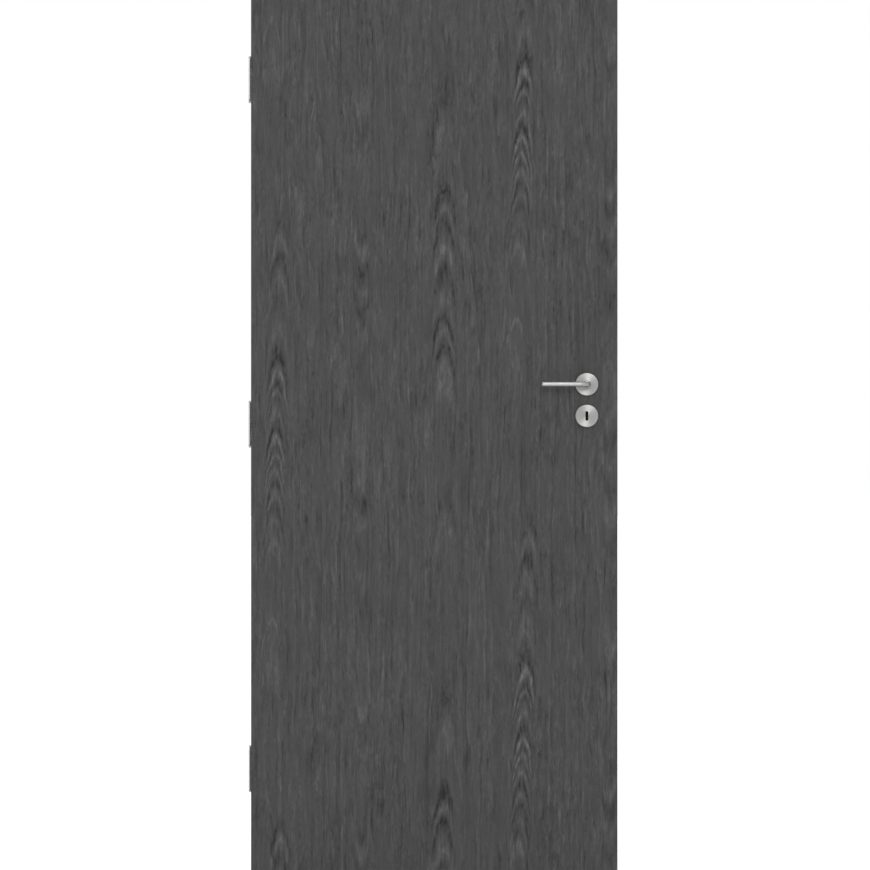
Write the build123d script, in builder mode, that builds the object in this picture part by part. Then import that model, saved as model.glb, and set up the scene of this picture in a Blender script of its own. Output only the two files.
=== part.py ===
"""Plain interior door leaf with butt hinges, a mortise lock, lever handles and round roses.

The leaf hangs with its hinge edge on the left and its lever on the right, seen from the front.
Front is -Y, up is +Z. The origin lies on the fixing face of the middle frame hinge leaf, the face
that screws to the door frame, halfway up that hinge and level with the middle of the leaf's
thickness. Sizes are in millimetres.
"""

import os

from build123d import *

os.makedirs("parts", exist_ok=True)

# Leaf: overall size, then its layers from the outside in
leaf_width = 835.0
leaf_height = 1985.0
leaf_thickness = 40.0
skin_thickness = 3.2
edge_band_thickness = 1.0
edge_band_round = 0.8
stile_width = 38.0
rail_height = 50.0
core_tube_radius = 12.0
core_tube_pitch = 31.0

# Butt hinges: flat leaves let into the two edges, knuckles at the back
hinge_height = 100.0
hinge_plate_width = 32.0
hinge_plate_thickness = 3.0
hinge_closed_gap = 3.0
hinge_corner_radius = 4.0
hinge_recess_clearance = 0.2
knuckle_count = 5
knuckle_radius = 5.5
knuckle_end_gap = 0.4
knuckle_stand_off = 0.8
knuckle_notch_clearance = 1.0
pin_radius = 2.95
pin_clearance = 0.05
pin_tip_height = 4.0
bottom_hinge_rise = 230.0
top_hinge_drop = 180.0
hinge_screw_radius = 2.4
hinge_sink_radius = 4.2
hinge_screw_spacing_y = 13.0
hinge_screw_spacing_z = 72.0

# Lock: where the spindle and the key go through, then the case and its forend
backset = 70.0
spindle_height = 1108.0
key_spacing = 72.0
forend_height = 235.0
forend_width = 20.0
forend_thickness = 3.0
forend_screw_spacing = 209.0
forend_screw_radius = 2.4
forend_sink_radius = 4.2
forend_above_spindle = 72.0
forend_recess_clearance = 0.2
case_height = 165.0
case_depth = 93.0
case_thickness = 15.0
case_wall = 1.5
case_above_spindle = 45.0
mortise_clearance = 0.5
lock_block_width = 92.0
lock_block_height = 340.0

# Latch and dead bolt, both drawn in flush with the forend
latch_height = 32.0
latch_length = 27.0
latch_tail_length = 20.0
latch_tail_height = 12.0
latch_tail_width = 5.0
bolt_height = 34.0
bolt_width = 10.0
bolt_length = 32.0
bolt_tail_length = 54.0
bolt_tail_width = 3.0
bolt_window_width = 20.0
bolt_clearance = 0.3

# Follower, the nut in the lock that the spindle turns
follower_neck_radius = 9.0
follower_hub_radius = 11.0
follower_arm_reach = 24.0
follower_arm_width = 8.0
follower_clearance = 0.3

# Roses
rose_radius = 26.0
rose_height = 8.0
rose_wall = 1.0
rose_edge_radius = 1.6
rose_base_gap = 0.3
key_slot_length = 22.0
key_slot_width = 6.5
key_way_margin = 1.5
spindle_bore_radius = 10.0

# Lever: a slim bar bent off a round neck
neck_radius = 8.0
neck_clearance = 0.05
neck_collar_clearance = 0.4
neck_collar_height = 5.0
lever_reach = 58.0
lever_length = 104.0
lever_bar_height = 10.5
lever_bar_depth = 14.0
lever_bar_round = 4.0
lever_bend_radius = 18.0
lever_tip_round = 3.8
spindle_side = 8.0
spindle_clearance = 0.05
spindle_end = 50.0
grub_screw_radius = 2.5
grub_screw_reach = 14.0

# Places worked out from the sizes above
half_thickness = leaf_thickness / 2
hinge_edge_x = hinge_plate_thickness + hinge_closed_gap
lock_edge_x = hinge_edge_x + leaf_width
hinge_axis_x = hinge_plate_thickness + hinge_closed_gap / 2
hinge_axis_y = half_thickness + knuckle_stand_off + knuckle_radius
middle_hinge_rise = (bottom_hinge_rise + leaf_height - top_hinge_drop) / 2
leaf_bottom_z = -middle_hinge_rise
leaf_top_z = leaf_bottom_z + leaf_height
hinge_levels = {
    "top": leaf_top_z - top_hinge_drop,
    "middle": 0.0,
    "bottom": leaf_bottom_z + bottom_hinge_rise,
}
plate_back_y = hinge_axis_y
plate_front_y = plate_back_y - hinge_plate_width
hinge_screw_y = (plate_front_y + half_thickness) / 2

spindle_x = lock_edge_x - backset
spindle_z = leaf_bottom_z + spindle_height
key_z = spindle_z - key_spacing
forend_back_x = lock_edge_x - forend_thickness
forend_z = spindle_z + forend_above_spindle - forend_height / 2
case_back_x = forend_back_x - case_depth
case_z = spindle_z + case_above_spindle - case_height / 2
latch_width = case_thickness - 2 * case_wall - 2 * bolt_clearance
inner_hinge_x = hinge_edge_x + edge_band_thickness
inner_lock_x = lock_edge_x - edge_band_thickness
core_left_x = inner_hinge_x + stile_width
core_right_x = inner_lock_x - stile_width
core_thickness = leaf_thickness - 2 * skin_thickness
core_bottom_z = leaf_bottom_z + rail_height
core_top_z = leaf_top_z - rail_height

# A plane on the front face: its x is +X, its y is +Z, and it extrudes out of the door
front_plane = Plane(origin=(0, -half_thickness, 0), x_dir=(1, 0, 0), z_dir=(0, -1, 0))
middle_plane = front_plane.offset(-half_thickness)


def save(piece, name):
    """Labels a finished piece and writes it to its own file."""
    piece.label = name
    export_step(piece, f"parts/{name}.step")


def block(low, high, mode=Mode.ADD):
    """Adds or cuts a straight block between two corners."""
    width, depth = high[0] - low[0], high[1] - low[1]
    with BuildSketch(Plane.XY.offset(low[2])) as footprint:
        with Locations(((low[0] + high[0]) / 2, (low[1] + high[1]) / 2)):
            Rectangle(width, depth)
    extrude(footprint.sketch, amount=high[2] - low[2], mode=mode)


def cut_hinge_recesses():
    """Lets the door hinge leaves into the hinge edge, through to the back face."""
    recess_height = hinge_height + 2 * hinge_recess_clearance
    with BuildSketch(Plane.YZ.offset(hinge_edge_x)) as outline:
        for level in hinge_levels.values():
            with Locations((plate_front_y - hinge_recess_clearance, level)):
                RectangleRounded(
                    2 * hinge_plate_width,
                    recess_height,
                    hinge_corner_radius,
                    align=(Align.MIN, Align.CENTER),
                )
    extrude(outline.sketch, amount=hinge_plate_thickness, mode=Mode.SUBTRACT)


def cut_forend_recess():
    """Lets the forend into the lock edge."""
    gap = 2 * forend_recess_clearance
    with BuildSketch(Plane.YZ.offset(forend_back_x)) as outline:
        with Locations((0, forend_z)):
            SlotOverall(forend_height + gap, forend_width + gap, rotation=90)
    extrude(outline.sketch, amount=forend_thickness, mode=Mode.SUBTRACT)


def cut_mortise():
    """Cuts the pocket that the lock case slides into."""
    half_slot = case_thickness / 2 + mortise_clearance
    half_height = case_height / 2 + mortise_clearance
    low = (case_back_x - mortise_clearance, -half_slot, case_z - half_height)
    high = (forend_back_x, half_slot, case_z + half_height)
    block(low, high, Mode.SUBTRACT)


def cut_spindle_and_key_bores():
    """Bores through the leaf for the spindle and for the key."""
    with BuildSketch(middle_plane) as bores:
        with Locations((spindle_x, spindle_z)):
            Circle(spindle_bore_radius)
        with Locations((spindle_x, key_z)):
            key_way(2 * key_way_margin)
    extrude(bores.sketch, amount=half_thickness, both=True, mode=Mode.SUBTRACT)


def key_way(margin):
    """Draws the upright slot for the key, wider all round by a margin."""
    SlotOverall(key_slot_length + 2 * margin, key_slot_width + 2 * margin, rotation=90)


def mirrored(piece):
    """Returns the same piece for the back of the door."""
    with BuildPart() as copy:
        mirror(piece, about=Plane.XZ)
    return copy.part


# Skins, the two faces of the leaf
with BuildPart() as front_skin:
    block(
        (inner_hinge_x, -half_thickness, leaf_bottom_z),
        (inner_lock_x, -half_thickness + skin_thickness, leaf_top_z),
    )
    cut_spindle_and_key_bores()
save(front_skin.part, "front_skin")

with BuildPart() as back_skin:
    block(
        (inner_hinge_x, half_thickness - skin_thickness, leaf_bottom_z),
        (inner_lock_x, half_thickness, leaf_top_z),
    )
    cut_spindle_and_key_bores()
    cut_hinge_recesses()
save(back_skin.part, "back_skin")

# Frame of the leaf: stiles at full height with the rails between them
with BuildPart() as hinge_stile:
    block(
        (inner_hinge_x, -core_thickness / 2, leaf_bottom_z),
        (core_left_x, core_thickness / 2, leaf_top_z),
    )
    cut_hinge_recesses()
save(hinge_stile.part, "hinge_stile")

with BuildPart() as lock_stile:
    block(
        (core_right_x, -core_thickness / 2, leaf_bottom_z),
        (inner_lock_x, core_thickness / 2, leaf_top_z),
    )
    cut_forend_recess()
    cut_mortise()
save(lock_stile.part, "lock_stile")

for rail_name, rail_z in (("bottom_rail", leaf_bottom_z), ("top_rail", core_top_z)):
    with BuildPart() as rail:
        block(
            (core_left_x, -core_thickness / 2, rail_z),
            (core_right_x, core_thickness / 2, rail_z + rail_height),
        )
    save(rail.part, rail_name)

# Lock block, solid wood beside the lock stile that takes the end of the mortise
lock_block_low = (core_right_x - lock_block_width, -core_thickness / 2, case_z - lock_block_height / 2)
lock_block_high = (core_right_x, core_thickness / 2, case_z + lock_block_height / 2)
with BuildPart() as lock_block:
    block(lock_block_low, lock_block_high)
    cut_mortise()
    cut_spindle_and_key_bores()
save(lock_block.part, "lock_block")

# Core, a chipboard slab with upright tubes
core_width = core_right_x - core_left_x
tube_count = int(core_width // core_tube_pitch)
with BuildPart() as tubular_core:
    with BuildSketch(Plane.XY.offset(core_bottom_z)):
        with Locations(((core_left_x + core_right_x) / 2, 0)):
            Rectangle(core_width, core_thickness)
            with GridLocations(core_tube_pitch, 1, tube_count, 1):
                Circle(core_tube_radius, mode=Mode.SUBTRACT)
    extrude(amount=core_top_z - core_bottom_z)
    block(lock_block_low, lock_block_high, Mode.SUBTRACT)
save(tubular_core.part, "tubular_core")

# Edge bands on the two upright edges
with BuildPart() as hinge_edge_band:
    block(
        (hinge_edge_x, -half_thickness, leaf_bottom_z),
        (inner_hinge_x, half_thickness, leaf_top_z),
    )
    fillet(hinge_edge_band.edges().filter_by(Axis.Z).group_by(Axis.X)[0], edge_band_round)
    cut_hinge_recesses()
save(hinge_edge_band.part, "hinge_edge_band")

with BuildPart() as lock_edge_band:
    block(
        (inner_lock_x, -half_thickness, leaf_bottom_z),
        (lock_edge_x, half_thickness, leaf_top_z),
    )
    fillet(lock_edge_band.edges().filter_by(Axis.Z).group_by(Axis.X)[-1], edge_band_round)
    cut_forend_recess()
save(lock_edge_band.part, "lock_edge_band")

# Hinges
knuckle_height = hinge_height / knuckle_count


def hinge_leaf(plate_x, sink_side, own_knuckles, level):
    """One half of a butt hinge: a plate with its share of the knuckles."""
    bottom_z = level - hinge_height / 2
    with BuildPart() as half:
        block(
            (plate_x, plate_front_y, bottom_z),
            (plate_x + hinge_plate_thickness, plate_back_y, bottom_z + hinge_height),
        )
        corners = half.edges().filter_by(Axis.X).group_by(Axis.Y)[0]
        fillet(corners, hinge_corner_radius)
        for knuckle in range(knuckle_count):
            knuckle_bottom = bottom_z + knuckle * knuckle_height
            if knuckle in own_knuckles:
                with BuildSketch(Plane.XY.offset(knuckle_bottom + knuckle_end_gap / 2)):
                    with Locations((hinge_axis_x, hinge_axis_y)):
                        Circle(knuckle_radius)
                extrude(amount=knuckle_height - knuckle_end_gap)
            else:
                with BuildSketch(Plane.XY.offset(knuckle_bottom - knuckle_end_gap / 2)):
                    with Locations((hinge_axis_x, hinge_axis_y)):
                        Circle(knuckle_radius + knuckle_notch_clearance)
                extrude(amount=knuckle_height + knuckle_end_gap, mode=Mode.SUBTRACT)
        with BuildSketch(Plane.XY.offset(bottom_z - pin_tip_height)):
            with Locations((hinge_axis_x, hinge_axis_y)):
                Circle(pin_radius + pin_clearance)
        extrude(amount=hinge_height + 2 * pin_tip_height, mode=Mode.SUBTRACT)
        open_face_x = plate_x + (hinge_plate_thickness if sink_side > 0 else 0)
        open_face = Plane((open_face_x, hinge_screw_y, level), x_dir=(0, 1, 0), z_dir=(sink_side, 0, 0))
        with Locations(open_face):
            with GridLocations(hinge_screw_spacing_y, hinge_screw_spacing_z, 2, 2):
                CounterSinkHole(hinge_screw_radius, hinge_sink_radius, hinge_plate_thickness)
    return half.part


def hinge_pin(level):
    """A hinge pin with a domed tip above and below the knuckles."""
    with BuildPart() as pin:
        with BuildSketch(Plane.XY.offset(level - hinge_height / 2 - pin_tip_height)):
            with Locations((hinge_axis_x, hinge_axis_y)):
                Circle(pin_radius)
        extrude(amount=hinge_height + 2 * pin_tip_height)
        for end_z in (level - hinge_height / 2 - pin_tip_height, level + hinge_height / 2):
            with BuildSketch(Plane.XY.offset(end_z)):
                with Locations((hinge_axis_x, hinge_axis_y)):
                    Circle(knuckle_radius)
            extrude(amount=pin_tip_height)
        tip_edges = pin.edges().filter_by(GeomType.CIRCLE)
        fillet([tip_edges.sort_by(Axis.Z)[0], tip_edges.sort_by(Axis.Z)[-1]], pin_tip_height * 0.7)
    return pin.part


frame_knuckles = range(0, knuckle_count, 2)
door_knuckles = range(1, knuckle_count, 2)
for place, level in hinge_levels.items():
    save(hinge_leaf(0.0, 1, frame_knuckles, level), f"frame_hinge_leaf_{place}")
    save(hinge_leaf(hinge_edge_x, -1, door_knuckles, level), f"door_hinge_leaf_{place}")
    save(hinge_pin(level), f"hinge_pin_{place}")

# Lock case, a sheet box that is open towards the forend
with BuildPart() as lock_case:
    block(
        (case_back_x, -case_thickness / 2, case_z - case_height / 2),
        (forend_back_x, case_thickness / 2, case_z + case_height / 2),
    )
    forend_side = lock_case.faces().sort_by(Axis.X)[-1]
    offset(amount=-case_wall, openings=forend_side)
    with BuildSketch(middle_plane):
        with Locations((spindle_x, spindle_z)):
            Circle(follower_neck_radius + pin_clearance)
        with Locations((spindle_x, key_z)):
            key_way(key_way_margin)
    extrude(amount=case_thickness, both=True, mode=Mode.SUBTRACT)
save(lock_case.part, "lock_case")

# Latch and bolt share one height each with their holes in the forend
latch_z = spindle_z
bolt_z = key_z
with BuildPart() as lock_forend:
    with BuildSketch(Plane.YZ.offset(forend_back_x)):
        with Locations((0, forend_z)):
            SlotOverall(forend_height, forend_width, rotation=90)
        for width, height, centre_z in (
            (latch_width, latch_height, latch_z),
            (bolt_width, bolt_height, bolt_z),
        ):
            with Locations((0, centre_z)):
                Rectangle(width + 2 * bolt_clearance, height + 2 * bolt_clearance, mode=Mode.SUBTRACT)
    extrude(amount=forend_thickness)
    with Locations(Plane((lock_edge_x, 0, forend_z), x_dir=(0, 1, 0), z_dir=(1, 0, 0))):
        with GridLocations(1, forend_screw_spacing, 1, 2):
            CounterSinkHole(forend_screw_radius, forend_sink_radius, forend_thickness)
save(lock_forend.part, "lock_forend")

with BuildPart() as latch_bolt:
    block(
        (lock_edge_x - latch_length, -latch_width / 2, latch_z - latch_height / 2),
        (lock_edge_x, latch_width / 2, latch_z + latch_height / 2),
    )
    latch_ends = latch_bolt.edges().filter_by(Axis.Z).group_by(Axis.X)[-1]
    fillet(latch_ends, latch_width / 4)
    tail_right_x = lock_edge_x - latch_length
    block(
        (tail_right_x - latch_tail_length, -latch_tail_width / 2, latch_z - latch_tail_height / 2),
        (tail_right_x, latch_tail_width / 2, latch_z + latch_tail_height / 2),
    )
save(latch_bolt.part, "latch_bolt")

with BuildPart() as dead_bolt:
    block(
        (lock_edge_x - bolt_length, -bolt_width / 2, bolt_z - bolt_height / 2),
        (lock_edge_x, bolt_width / 2, bolt_z + bolt_height / 2),
    )
    tail_right_x = lock_edge_x - bolt_length
    block(
        (tail_right_x - bolt_tail_length, -bolt_tail_width / 2, bolt_z - bolt_height / 2),
        (tail_right_x, bolt_tail_width / 2, bolt_z + bolt_height / 2),
    )
    with BuildSketch(middle_plane):
        with Locations((spindle_x, key_z)):
            Rectangle(bolt_window_width, key_slot_length + 2 * key_way_margin)
    extrude(amount=bolt_width, both=True, mode=Mode.SUBTRACT)
save(dead_bolt.part, "dead_bolt")

# Follower: necks that turn in the case walls, a hub between them and an arm for the latch
hub_width = case_thickness - 2 * case_wall - 2 * follower_clearance
with BuildPart() as follower:
    with BuildSketch(middle_plane):
        with Locations((spindle_x, spindle_z)):
            Circle(follower_neck_radius)
    extrude(amount=case_thickness / 2, both=True)
    with BuildSketch(middle_plane):
        with Locations((spindle_x, spindle_z)):
            Circle(follower_hub_radius)
        with Locations((spindle_x, spindle_z + follower_arm_reach / 2)):
            Rectangle(follower_arm_width, follower_arm_reach)
    extrude(amount=hub_width / 2, both=True)
    arm_end = follower.edges().filter_by(Axis.Y).group_by(Axis.Z)[-1]
    fillet(arm_end, follower_arm_width / 3)
    with BuildSketch(middle_plane):
        with Locations((spindle_x, spindle_z)):
            Rectangle(spindle_side + 2 * spindle_clearance, spindle_side + 2 * spindle_clearance)
    extrude(amount=case_thickness, both=True, mode=Mode.SUBTRACT)
save(follower.part, "follower")

# Roses: a pressed cover over a base that is fixed to the leaf
rose_inner_radius = rose_radius - rose_wall
base_height = rose_height - rose_wall - rose_base_gap


def rose_cover(centre_z, draw_hole):
    """A round cup with a rolled edge and the hole that its use needs."""
    with BuildPart() as cover:
        with BuildSketch(front_plane):
            with Locations((spindle_x, centre_z)):
                Circle(rose_radius)
        extrude(amount=rose_height)
        fillet(cover.edges().group_by(Axis.Y)[0], rose_edge_radius)
        with BuildSketch(front_plane):
            with Locations((spindle_x, centre_z)):
                Circle(rose_inner_radius)
        extrude(amount=rose_height - rose_wall, mode=Mode.SUBTRACT)
        with BuildSketch(front_plane):
            with Locations((spindle_x, centre_z)):
                draw_hole()
        extrude(amount=rose_height, mode=Mode.SUBTRACT)
    return cover.part


def rose_base(centre_z, draw_hole):
    """The disc under a rose cover."""
    with BuildPart() as base:
        with BuildSketch(front_plane):
            with Locations((spindle_x, centre_z)):
                Circle(rose_inner_radius - rose_base_gap)
        extrude(amount=base_height)
        with BuildSketch(front_plane):
            with Locations((spindle_x, centre_z)):
                draw_hole()
        extrude(amount=base_height, mode=Mode.SUBTRACT)
    return base.part


rose_pieces = {
    "lever_rose": rose_cover(spindle_z, lambda: Circle(neck_radius + neck_collar_clearance)),
    "key_rose": rose_cover(key_z, lambda: key_way(0)),
    "lever_base": rose_base(spindle_z, lambda: Circle(neck_radius + neck_clearance)),
    "key_base": rose_base(key_z, lambda: key_way(key_way_margin)),
}
for name, piece in rose_pieces.items():
    save(piece, f"front_{name}")
    save(mirrored(piece), f"back_{name}")

# Lever: the neck turns in the base, and the bar leaves it in one bend
bar_y = -(half_thickness + lever_reach - lever_bar_depth / 2)
neck_start_y = -(half_thickness + rose_base_gap)
collar_end_y = -(half_thickness + rose_height + neck_collar_height)
with BuildPart() as front_lever:
    with BuildSketch(front_plane.offset(rose_base_gap)):
        with Locations((spindle_x, spindle_z)):
            Circle(neck_radius)
    extrude(amount=neck_start_y - collar_end_y)
    fillet(front_lever.edges().group_by(Axis.Y)[0], lever_bar_round / 4)
    bar_start = Plane(origin=(spindle_x, neck_start_y, spindle_z), x_dir=(1, 0, 0), z_dir=(0, -1, 0))
    with BuildLine() as bar_path:
        FilletPolyline(
            (spindle_x, neck_start_y, spindle_z),
            (spindle_x, bar_y, spindle_z),
            (spindle_x - lever_length, bar_y, spindle_z),
            radius=lever_bend_radius,
        )
    with BuildSketch(bar_start):
        RectangleRounded(lever_bar_depth, lever_bar_height, lever_bar_round)
    sweep(path=bar_path.wires()[0])
    tip = front_lever.faces().sort_by(Axis.X)[0]
    fillet(tip.edges(), lever_tip_round)
    with BuildSketch(bar_start):
        Rectangle(spindle_side + 2 * spindle_clearance, spindle_side + 2 * spindle_clearance)
    extrude(amount=spindle_end - half_thickness + spindle_clearance, mode=Mode.SUBTRACT)
    with BuildSketch(Plane.XY.offset(spindle_z)):
        with Locations((spindle_x, -half_thickness - rose_height - grub_screw_reach)):
            Circle(grub_screw_radius)
    extrude(amount=-neck_radius, mode=Mode.SUBTRACT)
save(front_lever.part, "front_lever")
save(mirrored(front_lever.part), "back_lever")

with BuildPart() as spindle:
    with BuildSketch(middle_plane):
        with Locations((spindle_x, spindle_z)):
            Rectangle(spindle_side, spindle_side)
    extrude(amount=spindle_end, both=True)
save(spindle.part, "spindle")
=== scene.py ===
# Finishes, screws, lock tumblers, light and camera for a flush interior door leaf: dark grey
# wood-grain laminate, a satin steel lever set on round roses, a mortise lock and three hinges.

import math

import bpy
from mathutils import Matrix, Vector


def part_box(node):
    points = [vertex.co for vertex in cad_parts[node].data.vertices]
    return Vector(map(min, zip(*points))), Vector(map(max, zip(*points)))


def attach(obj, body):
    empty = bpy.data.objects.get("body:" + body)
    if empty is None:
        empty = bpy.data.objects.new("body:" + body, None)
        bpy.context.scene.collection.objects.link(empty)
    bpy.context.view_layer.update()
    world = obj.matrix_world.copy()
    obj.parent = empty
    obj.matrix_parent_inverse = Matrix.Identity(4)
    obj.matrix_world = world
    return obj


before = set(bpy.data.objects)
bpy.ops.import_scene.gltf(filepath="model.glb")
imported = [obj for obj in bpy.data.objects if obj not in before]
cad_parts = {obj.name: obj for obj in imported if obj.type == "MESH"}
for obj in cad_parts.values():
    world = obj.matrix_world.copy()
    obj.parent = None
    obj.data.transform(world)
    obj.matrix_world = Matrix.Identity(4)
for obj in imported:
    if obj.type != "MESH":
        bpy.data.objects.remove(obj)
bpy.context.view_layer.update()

MM = 0.001

# Leaf and camera
leaf_left_x, leaf_right_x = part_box("hinge_edge_band")[0].x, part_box("lock_edge_band")[1].x
leaf_bottom_z, leaf_top_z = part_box("front_skin")[0].z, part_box("front_skin")[1].z
leaf_front_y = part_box("front_skin")[0].y
camera_x = 0.42517
camera_lens = 250.0
sensor_size = 36.0
camera_fill = 0.9985
floor_gap = 4 * MM
floor_half_size = 60.0

# Print of the laminate: reflectances of its darkest, middle and lightest tone, its ground's place
# among them from 0 to 1, and the height in metres after which the figure repeats
print_dark = 0.010
print_middle = 0.055
print_light = 0.128
print_mean_tone = 0.496
print_repeat = 1.369

# Arches of the figure: how far a column wanders sideways, how its arches tilt, how ragged they are
arch_wander = 0.012
arch_tilt = 2.2
arch_raggedness = 0.034


# Node helpers

def feed(tree, socket, value):
    """Joins another node's output to a socket, or sets the socket to a plain value."""
    if isinstance(value, bpy.types.NodeSocket):
        tree.links.new(value, socket)
    else:
        socket.default_value = value


def add_node(tree, kind, inputs=None, **settings):
    """Adds a node with its settings and its inputs by name."""
    made = tree.nodes.new(kind)
    for name, value in settings.items():
        setattr(made, name, value)
    for name, value in (inputs or {}).items():
        feed(tree, made.inputs[name], value)
    return made


def maths(tree, operation, *values, clamp=False):
    """One Math node's output."""
    made = tree.nodes.new("ShaderNodeMath")
    made.operation = operation
    made.use_clamp = clamp
    for socket, value in zip(made.inputs, values):
        feed(tree, socket, value)
    return made.outputs[0]


def total(tree, *values):
    """The sum of several values."""
    result = values[0]
    for value in values[1:]:
        result = maths(tree, "ADD", result, value)
    return result


def swing(tree, level, size):
    """A level about 0.5 turned into a swing of a given size about zero."""
    return maths(tree, "MULTIPLY", maths(tree, "SUBTRACT", level, 0.5), size)


def map_range(tree, value, low, high, to_low=0.0, to_high=1.0, smooth=False):
    """A value moved from one range to another and held inside it."""
    made = add_node(
        tree,
        "ShaderNodeMapRange",
        {"Value": value, "From Min": low, "From Max": high, "To Min": to_low, "To Max": to_high},
        interpolation_type="SMOOTHSTEP" if smooth else "LINEAR",
    )
    return made.outputs["Result"]


def mix_colour(tree, factor, first, second):
    """A blend of two colours."""
    made = tree.nodes.new("ShaderNodeMix")
    made.data_type = "RGBA"
    feed(tree, made.inputs["Factor"], factor)
    feed(tree, made.inputs[6], first)
    feed(tree, made.inputs[7], second)
    return made.outputs[2]


def ramp(tree, value, stops):
    """A colour ramp through (place, grey or colour) stops."""
    made = add_node(tree, "ShaderNodeValToRGB", {"Fac": value})
    band = made.color_ramp
    while len(band.elements) > 1:
        band.elements.remove(band.elements[-1])
    for number, (place, level) in enumerate(stops):
        element = band.elements[0] if number == 0 else band.elements.new(place)
        element.position = place
        element.color = (*level, 1.0) if isinstance(level, tuple) else (level, level, level, 1.0)
    return made.outputs["Color"]


def mapped(tree, vector, scale=(1.0, 1.0, 1.0), offset=(0.0, 0.0, 0.0), turn=(0.0, 0.0, 0.0)):
    """A vector scaled, turned and moved."""
    made = add_node(
        tree,
        "ShaderNodeMapping",
        {"Vector": vector, "Location": offset, "Rotation": turn, "Scale": scale},
    )
    return made.outputs["Vector"]


def noise(tree, vector, detail=2.0, roughness=0.5):
    """Soft noise about 0.5."""
    made = add_node(
        tree,
        "ShaderNodeTexNoise",
        {"Vector": vector, "Scale": 1.0, "Detail": detail, "Roughness": roughness},
    )
    return made.outputs["Fac"]


def split(tree, vector):
    """The three parts of a vector."""
    made = add_node(tree, "ShaderNodeSeparateXYZ", {"Vector": vector})
    return made.outputs["X"], made.outputs["Y"], made.outputs["Z"]


def joined(tree, x, y, z):
    """A vector made of three parts."""
    return add_node(tree, "ShaderNodeCombineXYZ", {"X": x, "Y": y, "Z": z}).outputs["Vector"]


def distance_from_axis(tree, a, b):
    """How far a place lies from an axis, from its two parts square to that axis."""
    squares = maths(tree, "ADD", maths(tree, "MULTIPLY", a, a), maths(tree, "MULTIPLY", b, b))
    return maths(tree, "SQRT", squares)


def new_group(name, inputs, outputs, kind="ShaderNodeTree"):
    """An empty node group with named inputs (name, kind, value) and outputs (name, kind)."""
    tree = bpy.data.node_groups.new(name, kind)
    for label, socket_kind, value in inputs:
        socket = tree.interface.new_socket(label, in_out="INPUT", socket_type=socket_kind)
        if value is not None:
            socket.default_value = value
    for label, socket_kind in outputs:
        tree.interface.new_socket(label, in_out="OUTPUT", socket_type=socket_kind)
    entry = tree.nodes.new("NodeGroupInput")
    way_out = tree.nodes.new("NodeGroupOutput")
    return tree, entry.outputs, way_out.inputs


def place_group(tree, group, inputs):
    """A node group placed in a tree, with its inputs by name; returns its outputs."""
    made = tree.nodes.new("ShaderNodeGroup")
    made.node_tree = group
    for name, value in inputs.items():
        feed(tree, made.inputs[name], value)
    return made.outputs


FLOAT, VECTOR = "NodeSocketFloat", "NodeSocketVector"
GEOMETRY, FINISH = "NodeSocketGeometry", "NodeSocketMaterial"


# Shared effects

def make_streaks_group():
    """Streaks that run along Z: soft light and dark dashes of one width and length, about zero."""
    tree, given, out = new_group(
        "grain streaks",
        [("Vector", VECTOR, None), ("Width", FLOAT, 0.004), ("Length", FLOAT, 0.08),
         ("Detail", FLOAT, 2.0), ("Seed", FLOAT, 0.0)],
        [("Streak", FLOAT)],
    )
    x, y, z = split(tree, given["Vector"])
    across = maths(tree, "DIVIDE", x, given["Width"])
    through = maths(tree, "DIVIDE", y, given["Width"])
    along = maths(tree, "DIVIDE", z, given["Length"])
    place = joined(
        tree,
        maths(tree, "ADD", across, given["Seed"]),
        through,
        maths(tree, "SUBTRACT", along, given["Seed"]),
    )
    level = noise(tree, place, detail=given["Detail"], roughness=0.55)
    feed(tree, out["Streak"], swing(tree, level, 4.0))
    return tree


def make_arches_group():
    """One column of cathedral figure: how far down the repeat each arch lies, and where it shows."""
    tree, given, out = new_group(
        "cathedral arches",
        [("Vector", VECTOR, None), ("Centre", FLOAT, 0.4), ("Lean", FLOAT, 0.0),
         ("Start", FLOAT, 0.9), ("Steepness", FLOAT, 107.0), ("Half Width", FLOAT, 0.03),
         ("Repeat", FLOAT, print_repeat)],
        [("Place", FLOAT), ("Mask", FLOAT)],
    )
    x, _, z = split(tree, given["Vector"])
    down = maths(tree, "SUBTRACT", given["Start"], z)
    row = maths(tree, "FRACT", maths(tree, "DIVIDE", down, given["Repeat"]))
    shift = maths(tree, "MULTIPLY", row, given["Lean"])
    wander = noise(tree, joined(tree, given["Centre"], 0.0, maths(tree, "MULTIPLY", z, 14.0)))
    side = total(tree, maths(tree, "SUBTRACT", x, given["Centre"]),
                 maths(tree, "MULTIPLY", shift, -1.0), swing(tree, wander, arch_wander))
    drop = maths(tree, "MULTIPLY", maths(tree, "MULTIPLY", side, side), given["Steepness"])
    tilt = noise(tree, joined(tree, 0.0, given["Centre"], maths(tree, "MULTIPLY", z, 22.0)))
    tilt = swing(tree, tilt, arch_tilt)
    ragged = noise(tree, joined(tree, maths(tree, "MULTIPLY", x, 260.0), given["Centre"],
                                maths(tree, "MULTIPLY", z, 34.0)), detail=3.0, roughness=0.6)
    ragged = swing(tree, ragged, arch_raggedness)
    below = total(tree, down, maths(tree, "MULTIPLY", drop, -1.0), ragged,
                  maths(tree, "MULTIPLY", side, tilt))
    feed(tree, out["Place"], maths(tree, "FRACT", maths(tree, "DIVIDE", below, given["Repeat"])))
    reach = maths(tree, "DIVIDE", maths(tree, "ABSOLUTE", side), given["Half Width"])
    edge = noise(tree, joined(tree, maths(tree, "MULTIPLY", x, 60.0), given["Centre"],
                              maths(tree, "MULTIPLY", z, 9.0)))
    reach = total(tree, reach, swing(tree, edge, 0.9))
    feed(tree, out["Mask"], map_range(tree, reach, 0.45, 1.0, 1.0, 0.0, smooth=True))
    return tree


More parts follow.
